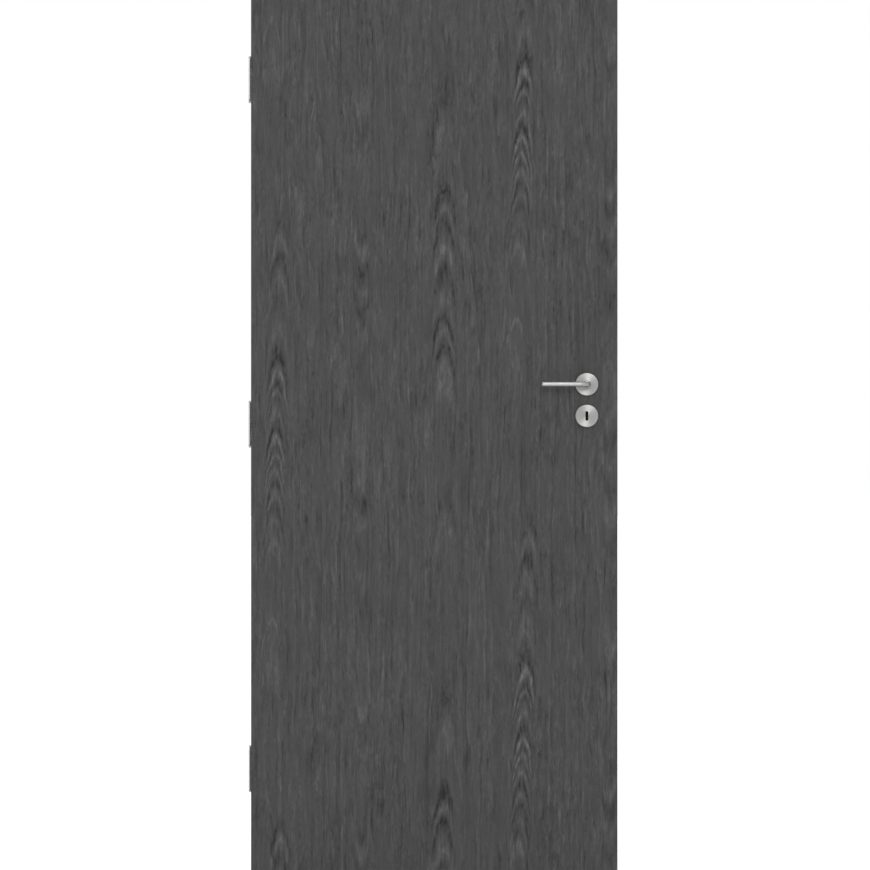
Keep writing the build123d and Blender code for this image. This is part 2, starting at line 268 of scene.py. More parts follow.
def make_growth_group():
    """Long growth lines: the level lines of a stretched field, which part, meet and close in loops."""
    tree, given, out = new_group(
        "growth lines",
        [("Vector", VECTOR, None), ("Width", FLOAT, 0.1), ("Length", FLOAT, 1.0),
         ("Lines", FLOAT, 14.0), ("Seed", FLOAT, 0.0)],
        [("Tone", FLOAT)],
    )
    x, y, z = split(tree, given["Vector"])
    place = joined(
        tree,
        maths(tree, "ADD", maths(tree, "DIVIDE", x, given["Width"]), given["Seed"]),
        maths(tree, "DIVIDE", y, given["Width"]),
        maths(tree, "ADD", maths(tree, "DIVIDE", z, given["Length"]), given["Seed"]),
    )
    field = noise(tree, place, detail=2.0, roughness=0.4)
    turn = maths(tree, "FRACT", maths(tree, "MULTIPLY", field, given["Lines"]))
    late = maths(tree, "POWER", turn, 2.6)
    early = maths(tree, "POWER", maths(tree, "SUBTRACT", 1.0, turn), 3.6)
    tone = maths(tree, "SUBTRACT", maths(tree, "MULTIPLY", early, 0.7), late)
    patches = noise(tree, mapped(tree, given["Vector"], (45.0, 45.0, 11.0)), detail=2.0)
    feed(tree, out["Tone"], maths(tree, "MULTIPLY", tone, map_range(tree, patches, 0.42, 0.64)))
    return tree


def make_dashes_group():
    """Separate spindle-shaped dashes along Z, each with its own tone from -1 to 1."""
    tree, given, out = new_group(
        "grain dashes",
        [("Vector", VECTOR, None), ("Width", FLOAT, 0.004), ("Length", FLOAT, 0.05),
         ("Fill", FLOAT, 0.5), ("Seed", FLOAT, 0.0)],
        [("Tone", FLOAT), ("Mask", FLOAT)],
    )
    x, y, z = split(tree, given["Vector"])
    place = joined(
        tree,
        maths(tree, "ADD", maths(tree, "DIVIDE", x, given["Width"]), given["Seed"]),
        maths(tree, "ADD", maths(tree, "DIVIDE", y, given["Width"]), given["Seed"]),
        maths(tree, "DIVIDE", z, given["Length"]),
    )
    cells = add_node(tree, "ShaderNodeTexVoronoi", {"Vector": place, "Scale": 1.0})
    inner = maths(tree, "MULTIPLY", given["Fill"], 0.3)
    mask = map_range(tree, cells.outputs["Distance"], given["Fill"], inner, smooth=True)
    tint, _, _ = split(tree, cells.outputs["Color"])
    tone = maths(tree, "MULTIPLY_ADD", tint, 2.0, -1.0)
    feed(tree, out["Mask"], mask)
    feed(tree, out["Tone"], maths(tree, "MULTIPLY", tone, mask))
    return tree


streaks_group = make_streaks_group()
dashes_group = make_dashes_group()
arches_group = make_arches_group()
growth_group = make_growth_group()


def streaks(tree, vector, width, length, seed, detail=2.0):
    """The streaks group placed once, with its own sizes."""
    return place_group(
        tree,
        streaks_group,
        {"Vector": vector, "Width": width, "Length": length, "Seed": seed, "Detail": detail},
    )["Streak"]


def dashes(tree, vector, width, length, fill, seed):
    """The dashes group placed once, with its own sizes; gives its tone and its mask."""
    placed = place_group(
        tree,
        dashes_group,
        {"Vector": vector, "Width": width, "Length": length, "Fill": fill, "Seed": seed},
    )
    return placed["Tone"], placed["Mask"]


def sparse(tree, streak, dark, light):
    """Only the strongest streaks: separate dark lines, fainter light ones, and quiet ground between."""
    low = map_range(tree, streak, 0.25, 0.85, 0.0, -dark, smooth=True)
    high = map_range(tree, streak, -0.30, -0.90, 0.0, light, smooth=True)
    return maths(tree, "ADD", low, high)


# Rings of the figure: (distance below the column's start in mm, tone from -1 dark to 1 light)
tall_rings = [
    (0, 0), (30, -0.5), (62, 0.5), (100, -0.6), (150, 0.4), (195, -0.3), (270, 0.3), (335, -1.0),
    (362, 0.9), (395, -0.7), (410, 0.5), (425, -0.4), (460, 0.5), (495, -0.9), (517, 0.9),
    (538, -0.6), (556, 0.6), (572, -0.4), (592, 0.5), (620, -0.7), (645, 0.5), (668, -0.5),
    (705, 0.3), (730, -0.2), (757, 0.5), (795, 0), (925, 0), (932, 0.6), (945, 0), (1030, 0.3),
    (1085, 0),
]
short_rings = [
    (0, 0), (40, -1.0), (74, 0.5), (104, -0.8), (130, 0), (172, 0.6), (215, -0.6), (262, 0),
    (286, 0.25), (326, -0.7), (355, 0.5), (393, -1.0), (420, 0.3), (480, 0.5), (515, 0),
    (700, 0), (740, -0.3), (790, 0.3), (860, 0), (1100, 0), (1200, -0.4), (1260, 0.3), (1320, 0),
]
faint_rings = [
    (0, 0), (60, 0.5), (100, -0.4), (150, 0.2), (260, 0), (340, -0.4), (380, 0.5), (420, -0.6),
    (470, 0.4), (520, -0.5), (560, 0.4), (610, -0.3), (700, 0), (900, 0.4), (950, -0.5), (1000, 0.3),
    (1060, -0.4), (1120, 0.5), (1180, -0.3), (1250, 0),
]
# Columns: rings, centre x, lean over a repeat, start z, steepness (minus points down), half width
# and strength
figure_columns = [
    (tall_rings, 0.6415, -0.045, 1.1700, 150.0, 0.027, 1.0),
    (tall_rings, 0.0740, -0.030, 0.4860, 150.0, 0.028, 0.95),
    (short_rings, 0.4450, 0.004, 0.5690, 120.0, 0.031, 1.0),
    (faint_rings, 0.2585, 0.000, 0.7600, -160.0, 0.020, 0.8),
    (faint_rings, 0.8240, 0.000, 0.9000, -160.0, 0.022, 0.75),
]


def ring_stops(rings):
    """The rings as ramp stops over one repeat, with the middle tone at 0.5."""
    return [(down * MM / print_repeat, 0.5 + tone / 2) for down, tone in rings]


def print_sway(tree, vector):
    """The print's place pushed sideways by slow waves and small curls, so that no line is straight."""
    x, y, z = split(tree, vector)
    waves = swing(tree, noise(tree, mapped(tree, vector, (9.0, 9.0, 2.0))), 0.020)
    curls = swing(tree, noise(tree, mapped(tree, vector, (34.0, 34.0, 9.0)), detail=3.0), 0.016)
    return joined(tree, total(tree, x, waves, curls), y, z)


def print_figure(tree, vector, amount):
    """The columns of arches: their tone about zero, and where they cover the other lines."""
    uneven = noise(tree, mapped(tree, vector, (130.0, 130.0, 45.0)), detail=3.0, roughness=0.6)
    uneven = map_range(tree, uneven, 0.36, 0.64, 0.25, 1.5)
    figure, covered = 0.0, 0.0
    for rings, centre, lean, start, steepness, half_width, strength in figure_columns:
        arches = place_group(
            tree,
            arches_group,
            {"Vector": vector, "Centre": centre, "Lean": lean, "Start": start,
             "Steepness": steepness, "Half Width": half_width},
        )
        tone = swing(tree, ramp(tree, arches["Place"], ring_stops(rings)), 2.0 * strength)
        tone = maths(tree, "MULTIPLY", tone, uneven)
        figure = maths(tree, "ADD", maths(tree, "MULTIPLY", tone, arches["Mask"]), figure)
        covered = maths(tree, "MAXIMUM", arches["Mask"], covered)
    return maths(tree, "MULTIPLY", figure, amount), maths(tree, "MULTIPLY", covered, amount)


def print_lines(tree, vector, swayed, hair):
    """Growth lines, streaks, dashes and ticks about zero; the fine ones gather in busy patches."""
    growth = place_group(
        tree,
        growth_group,
        {"Vector": swayed, "Width": 0.065, "Length": 2.4, "Lines": 11.0, "Seed": 2.0},
    )["Tone"]
    long_streaks = streaks(tree, swayed, width=0.0062, length=0.55, seed=71.0)
    medium = streaks(tree, swayed, width=0.0095, length=0.10, seed=11.0, detail=1.0)
    thread = streaks(tree, swayed, width=0.0007, length=0.016, seed=59.0)
    long_dashes, _ = dashes(tree, swayed, width=0.0088, length=0.085, fill=0.62, seed=5.0)
    short_dashes, _ = dashes(tree, swayed, width=0.0060, length=0.050, fill=0.62, seed=13.0)
    ticks, _ = dashes(tree, swayed, width=0.0048, length=0.015, fill=0.60, seed=23.0)
    fine = total(
        tree,
        sparse(tree, medium, dark=0.14, light=0.07),
        sparse(tree, hair, dark=0.13, light=0.07),
        maths(tree, "MULTIPLY", short_dashes, 0.155),
        maths(tree, "MULTIPLY", ticks, 0.14),
    )
    busy = noise(tree, mapped(tree, vector, (26.0, 26.0, 7.0), offset=(3.0, 0.0, 0.0)), detail=2.0)
    return total(
        tree,
        maths(tree, "MULTIPLY", growth, 0.18),
        sparse(tree, long_streaks, dark=0.13, light=0.08),
        maths(tree, "MULTIPLY", long_dashes, 0.085),
        maths(tree, "MULTIPLY", fine, map_range(tree, busy, 0.40, 0.62, 0.5, 1.05)),
        maths(tree, "MULTIPLY", thread, 0.025),
    )


def make_print_group():
    """The laminate's wood print: its tone about 0.5, and the height of its embossed pores."""
    tree, given, out = new_group(
        "wood print",
        [("Vector", VECTOR, None), ("Figure", FLOAT, 1.0)],
        [("Tone", FLOAT), ("Height", FLOAT)],
    )
    vector = given["Vector"]
    swayed = print_sway(tree, vector)
    wide = streaks(tree, swayed, width=0.050, length=0.70, seed=3.0)
    hair = streaks(tree, swayed, width=0.0055, length=0.024, seed=47.0, detail=1.0)
    _, pore_mask = dashes(tree, swayed, width=0.0008, length=0.0075, fill=0.44, seed=31.0)
    figure, covered = print_figure(tree, vector, given["Figure"])
    lines = print_lines(tree, vector, swayed, hair)
    lines = maths(tree, "MULTIPLY", lines, map_range(tree, covered, 0.0, 1.0, 0.96, 0.84))
    fibred = maths(tree, "MULTIPLY", figure, map_range(tree, hair, -1.0, 1.0, 0.33, 0.60))
    tone = total(tree, print_mean_tone, lines, maths(tree, "MULTIPLY", wide, 0.012), fibred,
                 maths(tree, "MULTIPLY", pore_mask, -0.12))
    feed(tree, out["Tone"], tone)
    height = total(tree, maths(tree, "MULTIPLY", pore_mask, -1.0),
                   maths(tree, "MULTIPLY", hair, 0.15))
    feed(tree, out["Height"], height)
    return tree


def make_brushing_group():
    """Brushed metal whose scratches run along Z: a shade factor, a roughness and a height."""
    tree, given, out = new_group(
        "brushing",
        [("Vector", VECTOR, None), ("Scratch Width", FLOAT, 0.0002), ("Scratch Length", FLOAT, 0.02),
         ("Contrast", FLOAT, 0.30), ("Roughness", FLOAT, 0.3)],
        [("Shade", FLOAT), ("Roughness", FLOAT), ("Height", FLOAT)],
    )
    x, y, z = split(tree, given["Vector"])
    along = maths(tree, "DIVIDE", z, given["Scratch Length"])
    fine = noise(tree, joined(tree, maths(tree, "DIVIDE", x, given["Scratch Width"]),
                              maths(tree, "DIVIDE", y, given["Scratch Width"]), along))
    wide = noise(tree, joined(tree, maths(tree, "MULTIPLY", x, 700.0),
                              maths(tree, "MULTIPLY", y, 700.0), maths(tree, "MULTIPLY", z, 40.0)))
    scratch = maths(tree, "SUBTRACT", fine, 0.5)
    cloud = maths(tree, "SUBTRACT", wide, 0.5)
    uneven = total(tree, scratch, cloud)
    feed(tree, out["Shade"], maths(tree, "MULTIPLY_ADD", uneven, given["Contrast"], 1.0))
    feed(tree, out["Roughness"], maths(tree, "MULTIPLY_ADD", cloud, 0.25, given["Roughness"]))
    feed(tree, out["Height"], scratch)
    return tree


def make_wear_group():
    """A mask of worn outer edges, from how far a rounded normal leaves the true one."""
    tree, given, out = new_group(
        "edge wear",
        [("Vector", VECTOR, None), ("Reach", FLOAT, 0.0006), ("Amount", FLOAT, 1.0)],
        [("Mask", FLOAT)],
    )
    rounded = add_node(tree, "ShaderNodeBevel", {"Radius": given["Reach"]}, samples=4)
    surface = tree.nodes.new("ShaderNodeNewGeometry")
    facing = add_node(tree, "ShaderNodeVectorMath", operation="DOT_PRODUCT")
    feed(tree, facing.inputs[0], rounded.outputs["Normal"])
    feed(tree, facing.inputs[1], surface.outputs["Normal"])
    edge = map_range(tree, facing.outputs["Value"], 0.999, 0.88)
    patches = map_range(tree, noise(tree, mapped(tree, given["Vector"], (300.0,) * 3)), 0.35, 0.6)
    feed(tree, out["Mask"], maths(tree, "MULTIPLY", maths(tree, "MULTIPLY", edge, patches),
                                  given["Amount"], clamp=True))
    return tree


def make_marks_group():
    """Soft marks left by hands and dust, as a mask from 0 to 1."""
    tree, given, out = new_group(
        "handling marks",
        [("Vector", VECTOR, None), ("Size", FLOAT, 0.02)],
        [("Mask", FLOAT)],
    )
    place = add_node(tree, "ShaderNodeVectorMath", {"Scale": maths(tree, "DIVIDE", 1.0, given["Size"])},
                     operation="SCALE")
    feed(tree, place.inputs[0], given["Vector"])
    level = noise(tree, place.outputs["Vector"], detail=4.0, roughness=0.6)
    feed(tree, out["Mask"], map_range(tree, level, 0.45, 0.7, smooth=True))
    return tree


def make_trunk_group():
    """Softwood cut from a trunk that runs along Z: yearly rings and fibres, each from 0 to 1."""
    tree, given, out = new_group(
        "trunk rings",
        [("Vector", VECTOR, None), ("Ring Width", FLOAT, 0.003)],
        [("Ring", FLOAT), ("Fibre", FLOAT)],
    )
    x, y, _ = split(tree, given["Vector"])
    sway = noise(tree, mapped(tree, given["Vector"], (20.0, 20.0, 1.5)))
    radius = maths(tree, "MULTIPLY_ADD", sway, 0.012, distance_from_axis(tree, x, y))
    turn = maths(tree, "FRACT", maths(tree, "DIVIDE", radius, given["Ring Width"]))
    feed(tree, out["Ring"], maths(tree, "POWER", turn, 3.0))
    fibre = noise(tree, mapped(tree, given["Vector"], (1500.0, 1500.0, 40.0)))
    feed(tree, out["Fibre"], fibre)
    return tree


print_group = make_print_group()
brushing_group = make_brushing_group()
wear_group = make_wear_group()
marks_group = make_marks_group()
trunk_group = make_trunk_group()


# Materials

def new_material(name):
    """A material with only its shader; returns the material, its tree and the shader."""
    material = bpy.data.materials.new(name)
    material.use_nodes = True
    tree = material.node_tree
    shader = tree.nodes["Principled BSDF"]
    return material, tree, shader


def object_place(tree):
    """The piece's own coordinates, in metres."""
    return tree.nodes.new("ShaderNodeTexCoord").outputs["Object"]


def bump(tree, height, depth):
    """A bump normal of a real depth in metres."""
    made = add_node(tree, "ShaderNodeBump", {"Height": height, "Distance": depth, "Strength": 1.0})
    return made.outputs["Normal"]


def laminate(name, figure, print_offset):
    """Dark grey wood-grain laminate; a cut end shows the wood fibre board under it."""
    material, tree, shader = new_material(name)
    coordinates = tree.nodes.new("ShaderNodeTexCoord")
    place = mapped(tree, coordinates.outputs["Object"], offset=print_offset)
    wood_print = place_group(tree, print_group, {"Vector": place, "Figure": figure})
    colour = ramp(tree, wood_print["Tone"],
                  [(0.0, print_dark), (0.5, print_middle), (1.0, print_light)])
    _, _, up = split(tree, coordinates.outputs["Normal"])
    cut_end = map_range(tree, maths(tree, "ABSOLUTE", up), 0.8, 0.9)
    speckle = noise(tree, mapped(tree, place, (2600.0,) * 3), detail=3.0)
    board = ramp(tree, speckle, [(0.3, (0.10, 0.060, 0.033)), (0.7, (0.24, 0.155, 0.088))])
    feed(tree, shader.inputs["Base Color"], mix_colour(tree, cut_end, colour, board))
    marks = place_group(tree, marks_group, {"Vector": place, "Size": 0.12})["Mask"]
    roughness = total(tree, 0.55, maths(tree, "MULTIPLY", marks, 0.08),
                      maths(tree, "MULTIPLY", cut_end, 0.3),
                      maths(tree, "MULTIPLY", wood_print["Height"], -0.05))
    feed(tree, shader.inputs["Roughness"], roughness)
    shader.inputs["Specular IOR Level"].default_value = 0.2
    feed(tree, shader.inputs["Normal"], bump(tree, wood_print["Height"], 0.00006))
    return material


def softwood(name, trunk_offset, turn=(0.0, 0.0, 0.0)):
    """Planed pine; the trunk runs along the piece."""
    material, tree, shader = new_material(name)
    place = mapped(tree, object_place(tree), offset=trunk_offset, turn=turn)
    wood = place_group(tree, trunk_group, {"Vector": place, "Ring Width": 0.0034})
    early = mix_colour(tree, wood["Fibre"], (0.50, 0.335, 0.18, 1.0), (0.66, 0.475, 0.285, 1.0))
    late = maths(tree, "MULTIPLY", wood["Ring"], 0.75)
    colour = mix_colour(tree, late, early, (0.33, 0.17, 0.075, 1.0))
    feed(tree, shader.inputs["Base Color"], colour)
    feed(tree, shader.inputs["Roughness"], map_range(tree, wood["Ring"], 0.0, 1.0, 0.72, 0.55))
    height = total(tree, wood["Fibre"], wood["Ring"])
    feed(tree, shader.inputs["Normal"], bump(tree, height, 0.00008))
    return material


def chipboard(name):
    """Extruded chipboard: flat chips of several woods."""
    material, tree, shader = new_material(name)
    place = object_place(tree)
    chips = add_node(tree, "ShaderNodeTexVoronoi",
                     {"Vector": mapped(tree, place, (420.0, 420.0, 190.0)), "Scale": 1.0})
    tint, _, _ = split(tree, chips.outputs["Color"])
    dust = noise(tree, mapped(tree, place, (2200.0,) * 3), detail=3.0)
    level = maths(tree, "MULTIPLY_ADD", dust, 0.4, maths(tree, "MULTIPLY", tint, 0.7))
    feed(tree, shader.inputs["Base Color"],
         ramp(tree, level, [(0.15, (0.22, 0.135, 0.065)), (0.5, (0.47, 0.33, 0.18)),
                            (0.9, (0.66, 0.51, 0.32))]))
    shader.inputs["Roughness"].default_value = 0.85
    height = total(tree, chips.outputs["Distance"], dust)
    feed(tree, shader.inputs["Normal"], bump(tree, height, 0.0004))
    return material


def steel_colour(tree, brushed, worn, level, worn_gain, blue):
    """Warm grey that changes along the scratches and is lighter on worn edges."""
    shade = total(tree, maths(tree, "MULTIPLY", brushed["Shade"], level),
                  maths(tree, "MULTIPLY", worn, worn_gain))
    return joined(tree, shade, maths(tree, "MULTIPLY", shade, 0.995),
                  maths(tree, "MULTIPLY", shade, blue))


def radial_tangent(tree, axis):
    """The direction round an axis, along which brushed metal stretches its highlights."""
    made = add_node(tree, "ShaderNodeTangent", direction_type="RADIAL", axis=axis)
    return made.outputs["Tangent"]


def brushed_steel(name, level, roughness, turn=(0.0, 0.0, 0.0), wear=0.4, anisotropy=0.5,
                  scratch_length=0.02, around=None):
    """Stainless steel brushed along Z, or along the turned axis."""
    material, tree, shader = new_material(name)
    place = object_place(tree)
    brushed = place_group(
        tree,
        brushing_group,
        {"Vector": mapped(tree, place, turn=turn), "Roughness": roughness,
         "Scratch Length": scratch_length},
    )
    worn = place_group(tree, wear_group, {"Vector": place, "Amount": wear})["Mask"]
    colour = steel_colour(tree, brushed, worn, level, worn_gain=0.12, blue=0.98)
    feed(tree, shader.inputs["Base Color"], colour)
    shader.inputs["Metallic"].default_value = 1.0
    marks = place_group(tree, marks_group, {"Vector": place, "Size": 0.014})["Mask"]
    feed(tree, shader.inputs["Roughness"],
         maths(tree, "MULTIPLY_ADD", marks, 0.06, brushed["Roughness"]))
    feed(tree, shader.inputs["Normal"], bump(tree, brushed["Height"], 0.00002))
    shader.inputs["Anisotropic"].default_value = anisotropy
    if around:
        feed(tree, shader.inputs["Tangent"], radial_tangent(tree, around))
    return material


def round_brushed_steel(name, centre, level, roughness):
    """A rose brushed while it turned: fine rings about its centre, so that light fans out from it."""
    material, tree, shader = new_material(name)
    place = object_place(tree)
    x, _, z = split(tree, mapped(tree, place, offset=(-centre.x, 0.0, -centre.z)))
    radius = maths(tree, "MAXIMUM", distance_from_axis(tree, x, z), 0.5 * MM)
    sideways = maths(tree, "MULTIPLY", maths(tree, "DIVIDE", x, radius), 0.25 * MM)
    upwards = maths(tree, "MULTIPLY", maths(tree, "DIVIDE", z, radius), 20 * MM)
    ring_place = joined(tree, radius, sideways, upwards)
    brushed = place_group(tree, brushing_group, {"Vector": ring_place, "Roughness": roughness})
    worn = place_group(tree, wear_group, {"Vector": place, "Amount": 0.5})["Mask"]
    colour = steel_colour(tree, brushed, worn, level, worn_gain=0.10, blue=0.985)
    feed(tree, shader.inputs["Base Color"], colour)
    shader.inputs["Metallic"].default_value = 1.0
    feed(tree, shader.inputs["Roughness"], brushed["Roughness"])
    feed(tree, shader.inputs["Normal"], bump(tree, brushed["Height"], 0.00001))
    shader.inputs["Anisotropic"].default_value = 0.85
    shader.inputs["Anisotropic Rotation"].default_value = 0.25
    feed(tree, shader.inputs["Tangent"], radial_tangent(tree, "Y"))
    return material


def zinc_plate(name):
    """Dull zinc plate with cloudy patches and worn edges."""
    material, tree, shader = new_material(name)
    place = object_place(tree)
    cloud = noise(tree, mapped(tree, place, (160.0,) * 3), detail=4.0, roughness=0.6)
    worn = place_group(tree, wear_group, {"Vector": place, "Amount": 0.6})["Mask"]
    colour = ramp(tree, cloud, [(0.3, (0.33, 0.335, 0.33)), (0.7, (0.52, 0.52, 0.49))])
    feed(tree, shader.inputs["Base Color"], mix_colour(tree, worn, colour, (0.66, 0.66, 0.64, 1.0)))
    shader.inputs["Metallic"].default_value = 1.0
    feed(tree, shader.inputs["Roughness"], map_range(tree, cloud, 0.3, 0.7, 0.52, 0.36))
    feed(tree, shader.inputs["Normal"], bump(tree, cloud, 0.00003))
    return material


def keyhole_shade_steel(name):
    """Lock tumbler steel coloured nearly black: painted shade for the inside of the keyhole, in uneven
    patches.
    """
    material, tree, shader = new_material(name)
    blotches = noise(tree, mapped(tree, object_place(tree), (400.0,) * 3), detail=4.0)
    # Nearly black colour: painted shade of the keyhole, not the steel's own colour
    feed(tree, shader.inputs["Base Color"],
         ramp(tree, blotches, [(0.3, (0.006, 0.006, 0.006)), (0.7, (0.020, 0.018, 0.015))]))
    feed(tree, shader.inputs["Roughness"], map_range(tree, blotches, 0.3, 0.7, 0.45, 0.75))
    shader.inputs["Specular IOR Level"].default_value = 0.2
    return material


def moulded_nylon(name):
    """Black nylon with a fine spark-eroded skin."""
    material, tree, shader = new_material(name)
    place = object_place(tree)
    skin = noise(tree, mapped(tree, place, (2500.0,) * 3), detail=2.0)
    feed(tree, shader.inputs["Base Color"], ramp(tree, skin, [(0.3, 0.012), (0.7, 0.024)]))
    feed(tree, shader.inputs["Roughness"], map_range(tree, skin, 0.3, 0.7, 0.48, 0.62))
    feed(tree, shader.inputs["Normal"], bump(tree, skin, 0.00004))
    return material


def give(material, *names):
    """Puts a material on CAD nodes."""
    for name in names:
        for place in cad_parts[name].material_slots:
            place.material = material


def middle(node):
    """The middle of a CAD node's box."""
    low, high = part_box(node)
    return (low + high) / 2


quarter_turn = math.pi / 2
give(laminate("front_laminate", figure=1.0, print_offset=(0.0, 0.0, 0.0)), "front_skin")
give(laminate("back_laminate", figure=1.0, print_offset=(0.11, 0.0, 0.37)), "back_skin")
give(laminate("edge_band_print", figure=0.0, print_offset=(0.0, 0.0, 0.0)),
     "hinge_edge_band", "lock_edge_band")
give(softwood("hinge_stile_pine", trunk_offset=(-0.055, 0.09, 0.0)), "hinge_stile")
give(softwood("lock_stile_pine", trunk_offset=(-0.79, -0.07, 0.0)), "lock_stile")
give(softwood("rail_pine", trunk_offset=(0.0, 0.08, 0.0), turn=(0.0, -quarter_turn, 0.0)),
     "top_rail", "bottom_rail")
give(chipboard("core_chipboard"), "tubular_core", "lock_block")
lever_steel = brushed_steel("lever_steel", level=0.315, roughness=0.38,
                            turn=(0.0, -quarter_turn, 0.0), around="X", scratch_length=0.03)
give(lever_steel, "front_lever", "back_lever")
lever_rose_steel = round_brushed_steel("lever_rose_steel", middle("front_lever_rose"),
                                       level=0.272, roughness=0.34)
give(lever_rose_steel, "front_lever_rose", "back_lever_rose")
key_rose_steel = round_brushed_steel("key_rose_steel", middle("front_key_rose"),
                                     level=0.250, roughness=0.34)
give(key_rose_steel, "front_key_rose", "back_key_rose")
give(moulded_nylon("base_nylon"), "front_lever_base", "back_lever_base", "front_key_base",
     "back_key_base")
give(zinc_plate("lock_zinc"), "lock_case", "spindle", "follower")
give(brushed_steel("forend_steel", level=0.36, roughness=0.32), "lock_forend")
give(brushed_steel("bolt_steel", level=0.42, roughness=0.26), "latch_bolt", "dead_bolt")
hinge_steel = brushed_steel("hinge_steel", level=0.37, roughness=0.34)
hinge_nodes = [f"{side}_{place}" for side in ("frame_hinge_leaf", "door_hinge_leaf", "hinge_pin")
               for place in ("top", "middle", "bottom")]
give(hinge_steel, *hinge_nodes)


# Screws and lock tumblers, made with Geometry Nodes

def screw_body(tree, given):
    """A disc drawn out step by step into a countersunk head, a shank and a point."""
    disc = add_node(
        tree,
        "GeometryNodeMeshCylinder",
        {"Vertices": 40, "Radius": given["Head Radius"], "Depth": 0.3 * MM},
        fill_type="NGON",
    )
    mesh, end = disc.outputs["Mesh"], disc.outputs["Bottom"]
    steps = [
        (given["Head Depth"], maths(tree, "DIVIDE", given["Shank Radius"], given["Head Radius"])),
        (given["Length"], 0.9),
        (given["Shank Radius"], 0.25),
    ]
    for distance, taper in steps:
        drawn = add_node(
            tree,
            "GeometryNodeExtrudeMesh",
            {"Mesh": mesh, "Selection": end, "Offset Scale": distance},
            mode="FACES",
        )
        drawn.inputs["Individual"].default_value = False
        narrowed = add_node(
            tree,
            "GeometryNodeScaleElements",
            {"Geometry": drawn.outputs["Mesh"], "Selection": drawn.outputs["Top"], "Scale": taper},
        )
        mesh, end = narrowed.outputs["Geometry"], drawn.outputs["Top"]
    return mesh


def finish_instances(tree, instances, finish, way_out):
    """Makes instances into plain geometry with its material, and ends the tree."""
    real = add_node(tree, "GeometryNodeRealizeInstances", {"Geometry": instances})
    finished = add_node(
        tree,
        "GeometryNodeSetMaterial",
        {"Geometry": real.outputs["Geometry"], "Material": finish},
    )
    feed(tree, way_out, finished.outputs["Geometry"])


def make_screw_tree(name, recess):
    """Screws on every vertex of the given mesh, heads outwards along the Turn's own Z."""
    tree, given, out = new_group(
        name,
        [("Points", GEOMETRY, None), ("Head Radius", FLOAT, 0.004),
         ("Head Depth", FLOAT, 0.002), ("Shank Radius", FLOAT, 0.002), ("Length", FLOAT, 0.02),
         ("Recess Width", FLOAT, 0.001), ("Recess Depth", FLOAT, 0.0015), ("Turn", VECTOR, None),
         ("Seed", "NodeSocketInt", 7), ("Finish", FINISH, None)],
        [("Screws", GEOMETRY)],
        "GeometryNodeTree",
    )
    sunk = add_node(tree, "GeometryNodeMeshBoolean", operation="DIFFERENCE", solver="EXACT")
    feed(tree, sunk.inputs["Mesh 1"], screw_body(tree, given))
    for cutter in recess(tree, given):
        tree.links.new(cutter, sunk.inputs["Mesh 2"])
    placed = add_node(
        tree,
        "GeometryNodeInstanceOnPoints",
        {"Points": given["Points"], "Instance": sunk.outputs["Mesh"], "Rotation": given["Turn"]},
    )
    twist = add_node(tree, "FunctionNodeRandomValue", {"Seed": given["Seed"]}, data_type="FLOAT")
    twist.inputs[3].default_value = 2 * math.pi
    spun = add_node(
        tree,
        "GeometryNodeRotateInstances",
        {"Instances": placed.outputs["Instances"],
         "Rotation": joined(tree, 0.0, 0.0, twist.outputs[1])},
    )
    spun.inputs["Local Space"].default_value = True
    finish_instances(tree, spun.outputs["Instances"], given["Finish"], out["Screws"])
    return tree


def cross_recess(tree, given):
    """Two crossed bars, for a cross-head driver."""
    reach = maths(tree, "MULTIPLY", given["Head Radius"], 1.25)
    height = maths(tree, "MULTIPLY", given["Recess Depth"], 2.0)
    sizes = [
        joined(tree, reach, given["Recess Width"], height),
        joined(tree, given["Recess Width"], reach, height),
    ]
    return [add_node(tree, "GeometryNodeMeshCube", {"Size": size}).outputs["Mesh"] for size in sizes]


def hex_recess(tree, given):
    """A six-sided socket."""
    socket = add_node(
        tree,
        "GeometryNodeMeshCylinder",
        {"Vertices": 6, "Radius": given["Recess Width"],
         "Depth": maths(tree, "MULTIPLY", given["Recess Depth"], 2.0)},
        fill_type="NGON",
    )
    return [socket.outputs["Mesh"]]


def make_repeats(name, tree, points, body, values):
    """Runs a geometry tree on points, keeps its mesh as one plain piece, and rides it on a body."""
    mesh = bpy.data.meshes.new(name + "_points")
    mesh.from_pydata([tuple(p) for p in points], [], [])
    holder = bpy.data.objects.new(name + "_holder", mesh)
    bpy.context.scene.collection.objects.link(holder)
    modifier = holder.modifiers.new("repeats", "NODES")
    modifier.node_group = tree
    sockets = {item.name: item.identifier for item in tree.interface.items_tree
               if item.in_out == "INPUT"}
    for label, value in values.items():
        modifier[sockets[label]] = value
    holder.update_tag()
    evaluated = holder.evaluated_get(bpy.context.evaluated_depsgraph_get())
    made = bpy.data.meshes.new_from_object(evaluated)
    made.name = name
    holder.modifiers.remove(modifier)
    bpy.data.objects.remove(holder)
    made.shade_smooth()
    made.set_sharp_from_angle(angle=math.radians(30))
    piece = bpy.data.objects.new(name, made)
    bpy.context.scene.collection.objects.link(piece)
    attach(piece, body)


